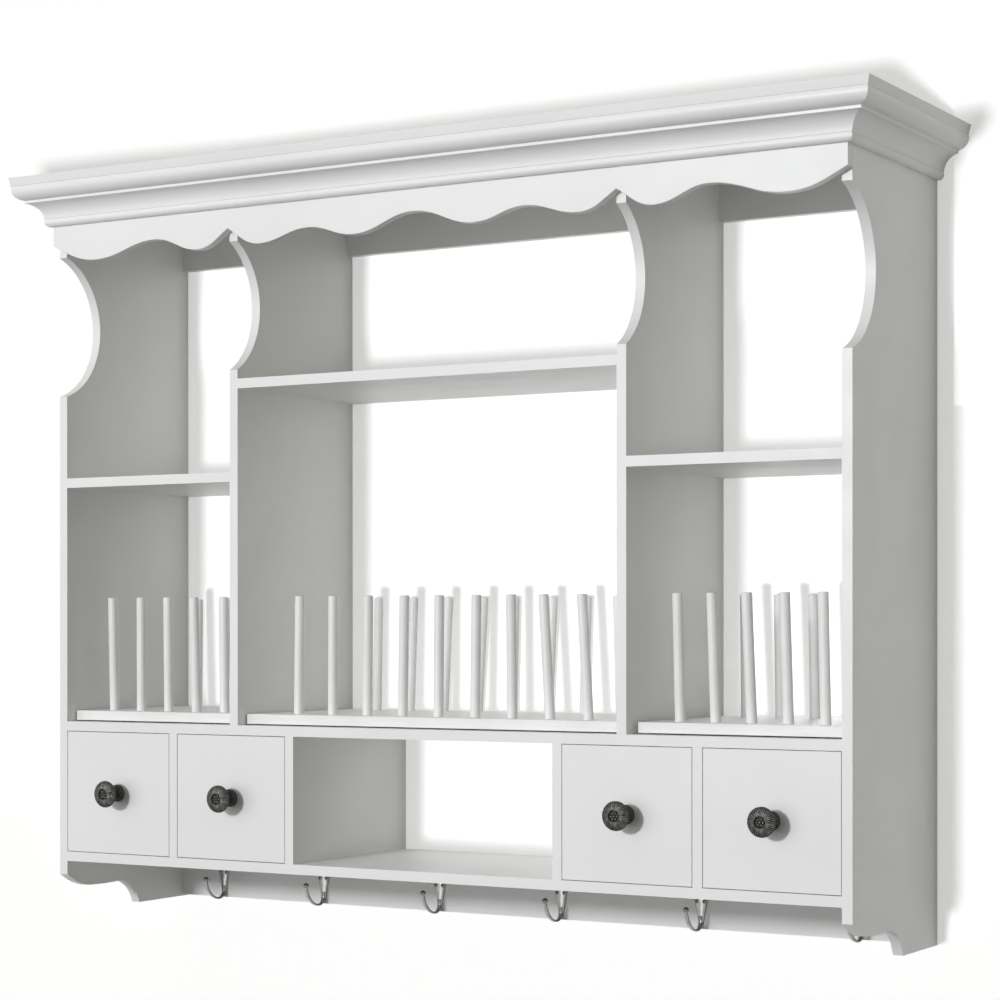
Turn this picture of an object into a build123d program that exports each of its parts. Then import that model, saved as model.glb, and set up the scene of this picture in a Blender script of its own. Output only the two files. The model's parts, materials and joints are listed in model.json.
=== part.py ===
from build123d import *
import math
import os

# White wall-hung kitchen cabinet with plate racks, four drawers and six coat hooks.
# Millimetres. X runs along the width, the wall is the plane Y = 0, the room lies at -Y, Z is up.
# The origin is the centre of the four wall screw holes.
# Names that start with "h_" are heights above the underside of the bottom shelf.

# Boards and bays
board = 12.0
carcass_depth = 250.0
side_bay_width = 256.0
middle_bay_width = 520.0
upright_height = 674.0
side_plate_bay_height = 296.0
middle_plate_bay_height = 409.0

# Scrolled edges of the side panels and dividers
scroll_top_drop = 86.0
side_scroll_height = 176.0
side_scroll_depth = 65.0
divider_scroll_height = 156.0
divider_scroll_depth = 46.0

# Feet of the side panels
foot_drop = 66.0
foot_length = 106.0
foot_cove_run = 40.0
foot_cove_middle = (0.31, 0.61)
brow_front_drop = 17.0
brow_back_drop = 34.0
brow_turn_run = 40.0
brow_front_bulge = 2.8
brow_sag = 1.0

# Rails along the wall and the holes for the wall screws
top_rail_height = 74.0
bottom_rail_height = 64.0
wall_hole_diameter = 5.0
wall_hole_spacing = 800.0
wall_hole_top_inset = 24.0
wall_hole_bottom_inset = 14.0

# Cornice and scalloped fascia
cornice_height = 60.0
cornice_reach = 40.0
cornice_bead_reach = 8.0
cornice_bead_height = 9.0
cornice_bead_quirk = 1.5
cornice_fillet_reach = 25.0
cornice_fillet_bottom = 28.5
cornice_fillet_height = 3.5
cornice_cushion_reach = 36.5
cornice_crown_height = 11.0
cornice_crown_lean = 2.6
# Share of its run and of its rise that the middle of each curve lies at
cornice_cove_middle = (0.32, 0.68)
cornice_cushion_middle = (0.90, 0.36)
fascia_end_drop = 24.0
fascia_cusp_drop = 24.0
fascia_low_drop = 46.0
fascia_side_crest_drop = 28.5
fascia_middle_crest_drop = 32.5
fascia_centre_crest_drop = 26.0
fascia_cusp_slope = 0.62
fascia_end_slope = 0.48
wave_ease = 0.42
# Places of the lows and crests between them, as shares of the stretch that they fill
side_lobe_shares = (0.255, 0.59, 0.832)
middle_lobe_shares = (0.178, 0.442, 0.69)

# Drawers
drawer_opening_width = 163.0
drawer_opening_height = 153.0
drawer_front_gap = 1.0
drawer_length = 228.0
drawer_side_thickness = 9.0
drawer_side_height = 122.0
drawer_side_gap = 1.5
drawer_running_gap = 0.3
drawer_housing_depth = 6.0
drawer_bottom_thickness = 4.0
drawer_bottom_height = 8.0
drawer_groove_depth = 4.0
drawer_fit_gap = 0.1
stop_block_width = 30.0
stop_block_depth = 10.0
stop_block_rise = 8.0

# Knobs
knob_diameter = 33.2
knob_projection = 29.5
knob_base_diameter = 21.5
knob_base_thickness = 3.0
knob_neck_diameter = 11.0
knob_head_back = 15.2
knob_rim_height = 23.8
knob_dish_diameter = 14.5
knob_dish_depth = 3.0
knob_button_diameter = 7.0
knob_button_height = 1.6
knob_button_taper = 0.6
knob_base_rim_share = 0.6
knob_base_taper = 0.8
# Share of the rim's radius, and of the rise before or after the rim, that each curve passes
knob_back_bulge = (0.84, 0.45)
knob_front_bulge = (0.83, 0.71)
knob_stud_diameter = 4.0
knob_stud_length = 9.0

# Plate racks
rack_setback = 16.0
rack_back_gap = 1.0
rack_side_gap = 3.5
# The racks lie loose, each a little to one side of its bay
left_rack_shift = -1.5
middle_rack_shift = -1.2
right_rack_shift = 3.0
rack_board = 12.0
rack_foot_height = 1.2
rack_running_gap = 0.3
peg_diameter = 12.0
peg_rise = 143.5
peg_round = 1.5
peg_row_inset = 30.0
side_peg_pitch = 43.6
side_peg_count = 5
middle_peg_pitch = 50.2
middle_peg_count = 9
peg_fit_gap = 0.1
# Degrees by which each peg leans to the left: front row, then back row, from left to right
left_peg_leans = ((1.3, 0.2, 0.6, 1.7, 0.6), (-0.6, -2.0, -0.4, 0.5, -0.3))
middle_peg_leans = (
    (-0.8, -0.3, -0.6, -1.0, -0.4, -0.8, 0.6, 3.4, 3.4),
    (-1.1, -2.3, -3.1, -3.5, -1.3, -3.0, -1.8, 1.5, 0.8),
)
right_peg_leans = ((1.4, 2.0, 2.6, 1.9, 1.3), (0.6, 0.8, 1.0, 0.8, 0.5))

# Coat hooks along the bottom rail, put there by hand and so unevenly spaced
hook_left_inset = 69.0
hook_right_inset = 75.0
# Share of an even spacing by which each hook is off its even place
hook_offset_shares = (0.0, -0.115, -0.136, -0.171, -0.124, 0.0)
hook_plate_top_drop = 20.0
hook_plate_height = 38.0
hook_plate_top_width = 22.0
hook_plate_foot_width = 7.0
hook_plate_thickness = 2.4
hook_arm_width = 5.6
hook_arm_thickness = 3.2
hook_arm_start_rise = 14.0
hook_bottom_drop = 64.3
hook_throat_radius = 10.8
hook_prong_radius = 29.0
hook_prong_turn = 86.0
hook_ball_diameter = 7.0
hook_screw_spacing = 10.0
hook_screw_drop = 11.0
hook_screw_diameter = 3.0
hook_screw_length = 11.0
hook_screw_head_diameter = 6.0
hook_screw_head_height = 1.8
hook_screw_head_round = 0.5
screw_hole_gap = 0.15
screw_hole_diameter = hook_screw_diameter + 2 * screw_hole_gap

# Dowels
dowel_diameter = 6.0
dowel_in_face = 7.0
dowel_in_end = 21.0
dowel_inset = 45.0
dowel_gap = 0.1
dowel_end_gap = 0.5

# Extra length of a cutting tool past the face that it opens
overcut = 1.0

# Derived widths
divider_centre = middle_bay_width / 2 + board / 2
half_inner = middle_bay_width / 2 + board + side_bay_width
half_width = half_inner + board
outer_partition_centre = half_inner - drawer_opening_width - board / 2
inner_partition_centre = outer_partition_centre - board - drawer_opening_width
drawer_pitch = drawer_opening_width + board
outer_drawer_centre = half_inner - drawer_opening_width / 2
drawer_centres = (
    -outer_drawer_centre,
    -outer_drawer_centre + drawer_pitch,
    outer_drawer_centre - drawer_pitch,
    outer_drawer_centre,
)
partition_centres = (
    -outer_partition_centre,
    -inner_partition_centre,
    inner_partition_centre,
    outer_partition_centre,
)

hook_first = hook_left_inset - half_inner
hook_pitch = (half_inner - hook_right_inset - hook_first) / (len(hook_offset_shares) - 1)
hook_places = [hook_first + hook_pitch * (place + off) for place, off in enumerate(hook_offset_shares)]

# Derived depths
front = -carcass_depth
fascia_front = front - board
half_drawer = drawer_opening_width / 2 - drawer_side_gap
half_drawer_inside = half_drawer - drawer_side_thickness
rail_front = -board
drawer_front_back = front + board
drawer_back_end = front + drawer_length
rack_front_row = front + rack_setback + peg_row_inset
rack_back_row = -rack_back_gap - peg_row_inset

# Derived heights above the underside of the bottom shelf
h_floor = board
h_drawer_top = h_floor + drawer_opening_height
h_plate_shelf = h_drawer_top + board
h_side_shelf = h_plate_shelf + side_plate_bay_height
h_middle_shelf = h_plate_shelf + middle_plate_bay_height
h_top = h_plate_shelf + upright_height
h_lid = h_top + board
h_scroll_top = h_top - scroll_top_drop
h_foot = -foot_drop
h_cornice = h_lid - cornice_height
h_top_rail = h_top - top_rail_height
h_bottom_rail = -bottom_rail_height
h_upper_hole = h_top - wall_hole_top_inset
h_lower_hole = -wall_hole_bottom_inset
h_knob = (h_floor + h_drawer_top) / 2
h_drawer_low = h_floor + drawer_running_gap
h_drawer_rim = h_drawer_low + drawer_side_height
h_panel = h_drawer_low + drawer_bottom_height
h_panel_top = h_panel + drawer_bottom_thickness
h_rack_foot = h_plate_shelf + rack_running_gap
h_rack_top = h_rack_foot + rack_foot_height + rack_board

# Height of the bottom shelf's underside above the origin
shelf_datum = -(h_upper_hole + h_lower_hole) / 2


def block(x_range, y_range, h_range):
    """A box between two places on each axis."""
    middle = [(low + high) / 2 for low, high in (x_range, y_range, h_range)]
    size = [high - low for low, high in (x_range, y_range, h_range)]
    return Pos(middle[0], middle[1], middle[2]) * Box(*size)


def rod(start, direction, length, diameter):
    """A round bar from a place along a direction."""
    place = Plane(origin=start, z_dir=direction)
    return extrude(place * Circle(diameter / 2), amount=length)


def one_solid(shape):
    """The single solid of a shape."""
    return shape.solids()[0]


def export(name, *shapes):
    """Raise the solids to the shelf datum and write them as one sub-part."""
    placed = [Pos(0, 0, shelf_datum) * one_solid(shape) for shape in shapes]
    export_step(placed[0] if len(placed) == 1 else Compound(children=placed), f"parts/{name}.step")


# Dowel joints

def end_grain_sites(x_joint, direction, h_middle, y_places):
    """Dowels along X, from the face of an upright into the end of a shelf or rail."""
    return [((x_joint, y, h_middle), (direction, 0, 0)) for y in y_places]


def upright_sites(x_middle, h_joint, direction):
    """Dowels along Z, from the face of a shelf into the end of an upright."""
    return [((x_middle, y, h_joint), (0, 0, direction)) for y in dowel_rows()]


def dowel_rows():
    """Places of the two dowels in the depth of a board."""
    return (front + dowel_inset, -dowel_inset)


def all_dowel_sites():
    """Every dowel of the carcass: the joint plane's point and the way into the end grain."""
    half_board = board / 2
    bay_edge = middle_bay_width / 2
    sites = []
    for side in (-1, 1):
        for h_shelf in (0, h_drawer_top):
            sites += end_grain_sites(side * half_inner, -side, h_shelf + half_board, dowel_rows())
        sites += end_grain_sites(side * half_inner, -side, h_side_shelf + half_board, dowel_rows())
        sites += end_grain_sites(side * (bay_edge + board), side, h_side_shelf + half_board, dowel_rows())
        sites += end_grain_sites(side * bay_edge, -side, h_middle_shelf + half_board, dowel_rows())
        for h_rail in (h_top_rail + top_rail_height / 2, h_bottom_rail + bottom_rail_height / 2):
            sites += end_grain_sites(side * half_inner, -side, h_rail, (rail_front / 2,))
        sites += upright_sites(side * divider_centre, h_plate_shelf, 1)
        sites += upright_sites(side * divider_centre, h_top, -1)
        sites += upright_sites(side * (half_width - half_board), h_top, -1)
    for x in partition_centres:
        sites += upright_sites(x, h_floor, 1)
        sites += upright_sites(x, h_drawer_top, -1)
    return sites


def dowel(site, gap, end_gap):
    """One dowel, or its hole where the gaps are more than nothing."""
    point, direction = site
    start = [p - d * (dowel_in_face + end_gap) for p, d in zip(point, direction)]
    length = dowel_in_face + dowel_in_end + 2 * end_gap
    return rod(start, direction, length, dowel_diameter + 2 * gap)


def drilled(shape):
    """The board with the dowel holes that reach it."""
    box = shape.bounding_box()
    for site in dowel_sites:
        point = site[0]
        near_x = box.min.X - overcut < point[0] < box.max.X + overcut
        near_y = box.min.Y - overcut < point[1] < box.max.Y + overcut
        near_h = box.min.Z - overcut < point[2] < box.max.Z + overcut
        if near_x and near_y and near_h:
            shape = shape - dowel(site, dowel_gap, dowel_end_gap)
    return shape


# Uprights

def scroll_arc(h_low, h_high, depth):
    """The hollow of a scrolled front edge."""
    middle = (front + depth, (h_low + h_high) / 2)
    return ThreePointArc((front, h_low), middle, (front, h_high))


def side_panel(side):
    """Full-height side panel with a scrolled front edge and a coved foot."""
    h_scroll_low = h_scroll_top - side_scroll_height
    toe = -foot_length
    cove_rise = foot_drop - brow_back_drop
    cove_top = (toe - foot_cove_run, -brow_back_drop)
    cove_middle = (toe - foot_cove_run * foot_cove_middle[0], h_foot + cove_rise * foot_cove_middle[1])
    brow_front = (front, -brow_front_drop)
    brow_turn = (front + brow_turn_run, -brow_back_drop)
    curve_middle_h = (brow_front[1] + brow_turn[1]) / 2 - brow_front_bulge
    curve_middle = (front + brow_turn_run / 2, curve_middle_h)
    sag_middle = ((cove_top[0] + brow_turn[0]) / 2, -brow_back_drop - brow_sag)
    edges = [
        Line((0, h_top), (0, h_foot)),
        Line((0, h_foot), (toe, h_foot)),
        ThreePointArc((toe, h_foot), cove_middle, cove_top),
        ThreePointArc(cove_top, sag_middle, brow_turn),
        ThreePointArc(brow_turn, curve_middle, brow_front),
        Line(brow_front, (front, h_scroll_low)),
        scroll_arc(h_scroll_low, h_scroll_top, side_scroll_depth),
        Line((front, h_scroll_top), (front, h_top)),
        Line((front, h_top), (0, h_top)),
    ]
    inner_face = -half_width if side < 0 else half_inner
    panel = extrude(Plane.YZ.offset(inner_face) * make_face(edges), amount=board)
    return drilled(panel)


def divider(side):
    """Upright between two bays, scrolled in front and notched round the top rail."""
    h_scroll_low = h_scroll_top - divider_scroll_height
    edges = [
        Line((0, h_plate_shelf), (front, h_plate_shelf)),
        Line((front, h_plate_shelf), (front, h_scroll_low)),
        scroll_arc(h_scroll_low, h_scroll_top, divider_scroll_depth),
        Line((front, h_scroll_top), (front, h_top)),
        Line((front, h_top), (rail_front, h_top)),
        Line((rail_front, h_top), (rail_front, h_top_rail)),
        Line((rail_front, h_top_rail), (0, h_top_rail)),
        Line((0, h_top_rail), (0, h_plate_shelf)),
    ]
    left_face = side * divider_centre - board / 2
    return drilled(extrude(Plane.YZ.offset(left_face) * make_face(edges), amount=board))


def drawer_partition(x_middle):
    """Small upright between two drawers, or between a drawer and the cubby."""
    x_range = (x_middle - board / 2, x_middle + board / 2)
    return drilled(block(x_range, (front, 0), (h_floor, h_drawer_top)))


# Shelves, lid and rails

def full_shelf(h_under):
    """A shelf from one side panel to the other."""
    return drilled(block((-half_inner, half_inner), (front, 0), (h_under, h_under + board)))


def side_upper_shelf(side):
    """Upper shelf of an outer bay."""
    near = middle_bay_width / 2 + board
    x_range = (near, half_inner) if side > 0 else (-half_inner, -near)
    return drilled(block(x_range, (front, 0), (h_side_shelf, h_side_shelf + board)))


def middle_upper_shelf():
    """Upper shelf of the middle bay."""
    half_bay = middle_bay_width / 2
    return drilled(block((-half_bay, half_bay), (front, 0), (h_middle_shelf, h_middle_shelf + board)))


def top_board():
    """Board that closes the carcass on top."""
    return drilled(block((-half_width, half_width), (front, 0), (h_top, h_lid)))


def back_rail(h_low, h_high, h_hole):
    """Rail along the wall with two holes for wall screws."""
    rail = block((-half_inner, half_inner), (rail_front, 0), (h_low, h_high))
    for side in (-1, 1):
        start = (side * wall_hole_spacing / 2, overcut, h_hole)
        rail -= rod(start, (0, -1, 0), board + 2 * overcut, wall_hole_diameter)
    return drilled(rail)


# Fascia and cornice

def wave(start, end, start_slope, end_slope):
    """A smooth rise or fall between two places with given slopes at its ends."""
    reach = (end[0] - start[0]) * wave_ease
    leave = (start[0] + reach, start[1] + reach * start_slope)
    arrive = (end[0] - reach, end[1] - reach * end_slope)
    return Bezier(start, leave, arrive, end)


def fascia_stations():
    """Places along the scalloped edge as place, height and slopes before and after."""
    low = h_cornice - fascia_low_drop
    cusp = h_cornice - fascia_cusp_drop
    end = h_cornice - fascia_end_drop
    side_crest = h_cornice - fascia_side_crest_drop
    middle_crest = h_cornice - fascia_middle_crest_drop
    side_run = half_width - divider_centre
    side_x = [-half_width + side_run * share for share in side_lobe_shares]
    middle_x = [-divider_centre + divider_centre * share for share in middle_lobe_shares]
    left = [
        (-half_width, end, 0, -fascia_end_slope),
        (side_x[0], low, 0, 0),
        (side_x[1], side_crest, 0, 0),
        (side_x[2], low, 0, 0),
        (-divider_centre, cusp, fascia_cusp_slope, -fascia_cusp_slope),
        (middle_x[0], low, 0, 0),
        (middle_x[1], middle_crest, 0, 0),
        (middle_x[2], low, 0, 0),
    ]
    centre = [(0, h_cornice - fascia_centre_crest_drop, 0, 0)]
    right = [(-x, h, -after, -before) for x, h, before, after in reversed(left)]
    return left + centre + right


def fascia():
    """Scalloped board across the whole front under the cornice."""
    stations = fascia_stations()
    edges = []
    for here, there in zip(stations, stations[1:]):
        edges.append(wave(here[:2], there[:2], here[3], there[2]))
    left_end = stations[0][:2]
    right_end = stations[-1][:2]
    edges += [
        Line(right_end, (half_width, h_lid)),
        Line((half_width, h_lid), (-half_width, h_lid)),
        Line((-half_width, h_lid), left_end),
    ]
    return extrude(Plane.XZ.offset(carcass_depth) * make_face(edges), amount=board)


def cornice_section(place):
    """Moulding section: a bead, a cove, a fillet, a cushion and a crown that leans out.

    place turns a reach and a rise into a point of the sketch plane.
    """
    bead_foot = cornice_bead_reach / 2
    fillet_top = cornice_fillet_bottom + cornice_fillet_height
    crown_foot = cornice_height - cornice_crown_height
    crown_foot_reach = cornice_reach - cornice_crown_lean
    cove_rise = cornice_fillet_bottom - cornice_bead_height
    cove_run = cornice_fillet_reach - cornice_bead_reach
    cushion_run = cornice_cushion_reach - cornice_fillet_reach
    cushion_rise = crown_foot - fillet_top
    bead_middle = (cornice_bead_reach, cornice_bead_height / 2)
    bead_top = (cornice_bead_reach - cornice_bead_quirk, cornice_bead_height)
    cove_middle = (
        cornice_bead_reach + cove_run * cornice_cove_middle[0],
        cornice_bead_height + cove_rise * cornice_cove_middle[1],
    )
    cushion_middle = (
        cornice_fillet_reach + cushion_run * cornice_cushion_middle[0],
        fillet_top + cushion_rise * cornice_cushion_middle[1],
    )
    edges = [
        Line(place(0, 0), place(bead_foot, 0)),
        ThreePointArc(place(bead_foot, 0), place(*bead_middle), place(*bead_top)),
        Line(place(*bead_top), place(cornice_bead_reach, cornice_bead_height)),
        ThreePointArc(
            place(cornice_bead_reach, cornice_bead_height),
            place(*cove_middle),
            place(cornice_fillet_reach, cornice_fillet_bottom),
        ),
        Line(place(cornice_fillet_reach, cornice_fillet_bottom), place(cornice_fillet_reach, fillet_top)),
        ThreePointArc(
            place(cornice_fillet_reach, fillet_top),
            place(*cushion_middle),
            place(cornice_cushion_reach, crown_foot),
        ),
        Line(place(cornice_cushion_reach, crown_foot), place(crown_foot_reach, crown_foot)),
        Line(place(crown_foot_reach, crown_foot), place(cornice_reach, cornice_height)),
        Line(place(cornice_reach, cornice_height), place(0, cornice_height)),
        Line(place(0, cornice_height), place(0, 0)),
    ]
    return make_face(edges)


def mitre_prism(corners):
    """Upright prism over a plan outline, which cuts a moulding to its mitres."""
    outline = make_face(Polyline(*corners, close=True))
    return extrude(Plane.XY.offset(h_cornice) * outline, amount=cornice_height)


def cornice_front():
    """Front length of the cornice, mitred at both ends."""
    tip = half_width + cornice_reach
    section = cornice_section(lambda reach, rise: (fascia_front - reach, h_cornice + rise))
    bar = extrude(Plane.YZ.offset(-tip) * section, amount=2 * tip)
    corners = [
        (-half_width, fascia_front),
        (half_width, fascia_front),
        (tip, fascia_front - cornice_reach),
        (-tip, fascia_front - cornice_reach),
    ]
    return bar & mitre_prism(corners)


def cornice_return(side):
    """Length of the cornice along one side, mitred in front and square at the wall."""
    tip = half_width + cornice_reach
    length = cornice_reach - fascia_front
    section = cornice_section(lambda reach, rise: (half_width + reach, h_cornice + rise))
    bar = extrude(Plane.XZ * section, amount=length)
    corners = [(half_width, 0), (tip, 0), (tip, fascia_front - cornice_reach), (half_width, fascia_front)]
    piece = bar & mitre_prism(corners)
    return piece if side > 0 else mirror(piece, Plane.YZ)


# Drawers

def drawer_side(x_middle, side):
    """One side of a drawer, housed in the front and grooved for the bottom."""
    x_places = sorted((x_middle + side * half_drawer_inside, x_middle + side * half_drawer))
    y_range = (drawer_front_back - drawer_housing_depth + drawer_fit_gap, drawer_back_end)
    piece = block(x_places, y_range, (h_drawer_low, h_drawer_rim))
    groove_ends = (half_drawer_inside - overcut, half_drawer_inside + drawer_groove_depth)
    groove_places = sorted(x_middle + side * place for place in groove_ends)
    return piece - block(groove_places, (front, overcut), groove_heights())


def groove_heights():
    """Lower and upper edge of the grooves that hold a drawer bottom."""
    return h_panel - drawer_fit_gap, h_panel_top + drawer_fit_gap


def drawer_front(x_middle):
    """Inset drawer front with housings for the sides, a groove and the knob's hole."""
    half_front = drawer_opening_width / 2 - drawer_front_gap
    h_range = (h_floor + drawer_front_gap, h_drawer_top - drawer_front_gap)
    piece = block((x_middle - half_front, x_middle + half_front), (front, drawer_front_back), h_range)
    housing_y = (drawer_front_back - drawer_housing_depth, drawer_front_back + overcut)
    housing_heights = (h_drawer_low - overcut, h_drawer_rim + drawer_fit_gap)
    near = half_drawer_inside - drawer_fit_gap
    for side in (-1, 1):
        x_places = sorted((x_middle + side * near, x_middle + side * (half_front + overcut)))
        piece -= block(x_places, housing_y, housing_heights)
    groove_y = (drawer_front_back - drawer_groove_depth - drawer_fit_gap, drawer_front_back + overcut)
    groove_reach = near + overcut
    piece -= block((x_middle - groove_reach, x_middle + groove_reach), groove_y, groove_heights())
    hole_diameter = knob_stud_diameter + 2 * screw_hole_gap
    hole = rod((x_middle, front - overcut, h_knob), (0, 1, 0), knob_stud_length + 2 * overcut, hole_diameter)
    return piece - hole


def drawer_bottom(x_middle):
    """Thin panel in the grooves of the front and sides, running under the back."""
    half_panel = half_drawer_inside + drawer_groove_depth - drawer_fit_gap
    y_range = (drawer_front_back - drawer_groove_depth, drawer_back_end)
    return block((x_middle - half_panel, x_middle + half_panel), y_range, (h_panel, h_panel_top))


def drawer_back(x_middle):
    """Back of a drawer, between the sides and on top of the bottom panel."""
    x_range = (x_middle - half_drawer_inside, x_middle + half_drawer_inside)
    y_range = (drawer_back_end - drawer_side_thickness, drawer_back_end)
    return block(x_range, y_range, (h_panel_top, h_drawer_rim))


def knob_section():
    """Half section of a mushroom knob as radius and distance from the drawer front."""
    rim = knob_diameter / 2
    base = knob_base_diameter / 2
    neck = knob_neck_diameter / 2
    stud = knob_stud_diameter / 2
    dish = knob_dish_diameter / 2
    button = knob_button_diameter / 2
    lip = button * knob_button_taper
    dish_floor = knob_projection - knob_dish_depth
    button_top = dish_floor + knob_button_height
    base_rim = knob_base_thickness * knob_base_rim_share
    base_top = base * knob_base_taper
    back_rise = knob_rim_height - knob_head_back
    front_rise = knob_projection - knob_rim_height
    back_bulge = (rim * knob_back_bulge[0], knob_head_back + back_rise * knob_back_bulge[1])
    front_bulge = (rim * knob_front_bulge[0], knob_rim_height + front_rise * knob_front_bulge[1])
    edges = [
        Line((0, -knob_stud_length), (stud, -knob_stud_length)),
        Line((stud, -knob_stud_length), (stud, 0)),
        Line((stud, 0), (base, 0)),
        Line((base, 0), (base, base_rim)),
        Line((base, base_rim), (base_top, knob_base_thickness)),
        Line((base_top, knob_base_thickness), (neck, knob_head_back)),
        ThreePointArc((neck, knob_head_back), back_bulge, (rim, knob_rim_height)),
        ThreePointArc((rim, knob_rim_height), front_bulge, (dish, knob_projection)),
        Line((dish, knob_projection), (button, dish_floor)),
        Line((button, dish_floor), (lip, button_top)),
        Line((lip, button_top), (0, button_top)),
        Line((0, button_top), (0, -knob_stud_length)),
    ]
    return make_face(edges)


def knob(x_middle):
    """Cast mushroom knob on a stud that threads into the drawer front."""
    turned = revolve(Plane.XZ * knob_section(), axis=Axis.Z)
    return Pos(x_middle, front, h_knob) * Rot(X=90) * turned


def drawer_stops():
    """Blocks on the bottom shelf that stop each drawer when it is shut."""
    y_stop = drawer_back_end + drawer_running_gap
    blocks = []
    for x in drawer_centres:
        x_range = (x - stop_block_width / 2, x + stop_block_width / 2)
        y_range = (y_stop, y_stop + stop_block_depth)
        blocks.append(block(x_range, y_range, (h_floor, h_panel_top + stop_block_rise)))
    return blocks


# Plate racks

def peg_row(x_middle, pitch, count, leans, y):
    """Point on the board and direction of each peg of one row."""
    row = []
    for index in range(count):
        lean = math.radians(leans[index % len(leans)])
        x = x_middle + pitch * (index - (count - 1) / 2)
        row.append(((x, y, h_rack_top), (-math.sin(lean), 0, math.cos(lean))))
    return row


def peg_rows(x_middle, pitch, count, leans):
    """Front and back rows of pegs of one rack."""
    front_row = peg_row(x_middle, pitch, count, leans[0], rack_front_row)
    return front_row, peg_row(x_middle, pitch, count, leans[1], rack_back_row)


def peg_bar(site, below, above, diameter):
    """Round bar along a peg's line, from below its seat to above it."""
    point, direction = site
    start = [p - d * below for p, d in zip(point, direction)]
    return rod(start, direction, below + above, diameter)


def rack_base(x_middle, bay_width, sites):
    """Loose board of a plate rack with a through hole for each peg."""
    half_base = bay_width / 2 - rack_side_gap
    x_range = (x_middle - half_base, x_middle + half_base)
    base = block(x_range, (front + rack_setback, -rack_back_gap), (h_rack_top - rack_board, h_rack_top))
    for site in sites:
        base -= peg_bar(site, rack_board * 2, rack_board, peg_diameter + 2 * peg_fit_gap)
    return base


def peg(site):
    """Round peg that passes through the board and stands on the shelf as a foot."""
    bar = peg_bar(site, rack_board * 2, peg_rise, peg_diameter)
    bar = fillet(bar.edges().group_by(Axis.Z)[-1], peg_round)
    waste = block((-half_width, half_width), (front, 0), (h_floor, h_rack_foot))
    return bar - waste


# Coat hooks

def hook_bend_point(y_bottom, radius, turn):
    """Point on a bend that has turned by this angle past the hook's lowest point."""
    angle = math.radians(turn)
    return (0, y_bottom - radius * math.sin(angle), -hook_bottom_drop + radius * (1 - math.cos(angle)))


def hook_arm():
    """Oval arm that drops from the plate and sweeps forward and up to a ball."""
    arm_y = rail_front - hook_plate_thickness / 2
    bottom_y = arm_y - hook_throat_radius
    h_bottom = -hook_bottom_drop
    start = (0, arm_y, h_bottom + hook_arm_start_rise)
    knee = (0, arm_y, h_bottom + hook_throat_radius)
    throat = hook_bend_point(bottom_y, hook_throat_radius, -45)
    bottom = (0, bottom_y, h_bottom)
    prong = hook_bend_point(bottom_y, hook_prong_radius, hook_prong_turn / 2)
    tip = hook_bend_point(bottom_y, hook_prong_radius, hook_prong_turn)
    path = Line(start, knee) + ThreePointArc(knee, throat, bottom) + ThreePointArc(bottom, prong, tip)
    section_plane = Plane(origin=start, x_dir=(1, 0, 0), z_dir=(0, 0, -1))
    section = section_plane * Ellipse(hook_arm_width / 2, hook_arm_thickness / 2)
    ball = Pos(*tip) * Sphere(hook_ball_diameter / 2)
    arm = sweep(section, path=path) + ball
    return arm - block((-board, board), (rail_front, 0), (-foot_drop - board, 0))


def hook_plate():
    """Tapered wall plate of a hook with two screw holes."""
    h_plate_top = -hook_plate_top_drop
    h_plate_foot = h_plate_top - hook_plate_height
    half_top = hook_plate_top_width / 2
    half_foot = hook_plate_foot_width / 2
    corners = [
        (-half_top, h_plate_top),
        (half_top, h_plate_top),
        (half_foot, h_plate_foot),
        (-half_foot, h_plate_foot),
    ]
    outline = make_face(Polyline(*corners, close=True))
    plate = extrude(Plane.XZ.offset(-rail_front) * outline, amount=hook_plate_thickness)
    for place in hook_screw_places(0):
        plate -= rod(place, (0, -1, 0), hook_plate_thickness + overcut, screw_hole_diameter)
    return plate


def hook_screw_places(x_hook):
    """Where the two screws of a hook meet the rail."""
    h_screw = -hook_plate_top_drop - hook_screw_drop
    return [(x_hook + side * hook_screw_spacing / 2, rail_front, h_screw) for side in (-1, 1)]


def hook(x_hook):
    """One coat hook on the bottom rail."""
    return Pos(x_hook, 0, 0) * (hook_plate() + hook_arm())


def hook_screw(place):
    """Round-headed screw through the hook's plate into the rail."""
    x, y, h = place
    shank_start = y + hook_screw_length - hook_plate_thickness
    shank = rod((x, shank_start, h), (0, -1, 0), hook_screw_length, hook_screw_diameter)
    head_start = y - hook_plate_thickness
    head = rod((x, head_start, h), (0, -1, 0), hook_screw_head_height, hook_screw_head_diameter)
    rim = head.edges().group_by(Axis.Y)[0]
    return shank + fillet(rim, hook_screw_head_height * hook_screw_head_round)


def all_hook_screws():
    """Every screw of the six hooks."""
    return [hook_screw(place) for x in hook_places for place in hook_screw_places(x)]


def hook_rail():
    """Bottom rail with the wall holes and the holes of the hook screws."""
    rail = back_rail(h_bottom_rail, 0, h_lower_hole)
    depth = hook_screw_length - hook_plate_thickness + dowel_end_gap
    for x in hook_places:
        for px, py, ph in hook_screw_places(x):
            rail -= rod((px, py - overcut, ph), (0, 1, 0), depth + overcut, screw_hole_diameter)
    return rail


# Sub-part files

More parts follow.
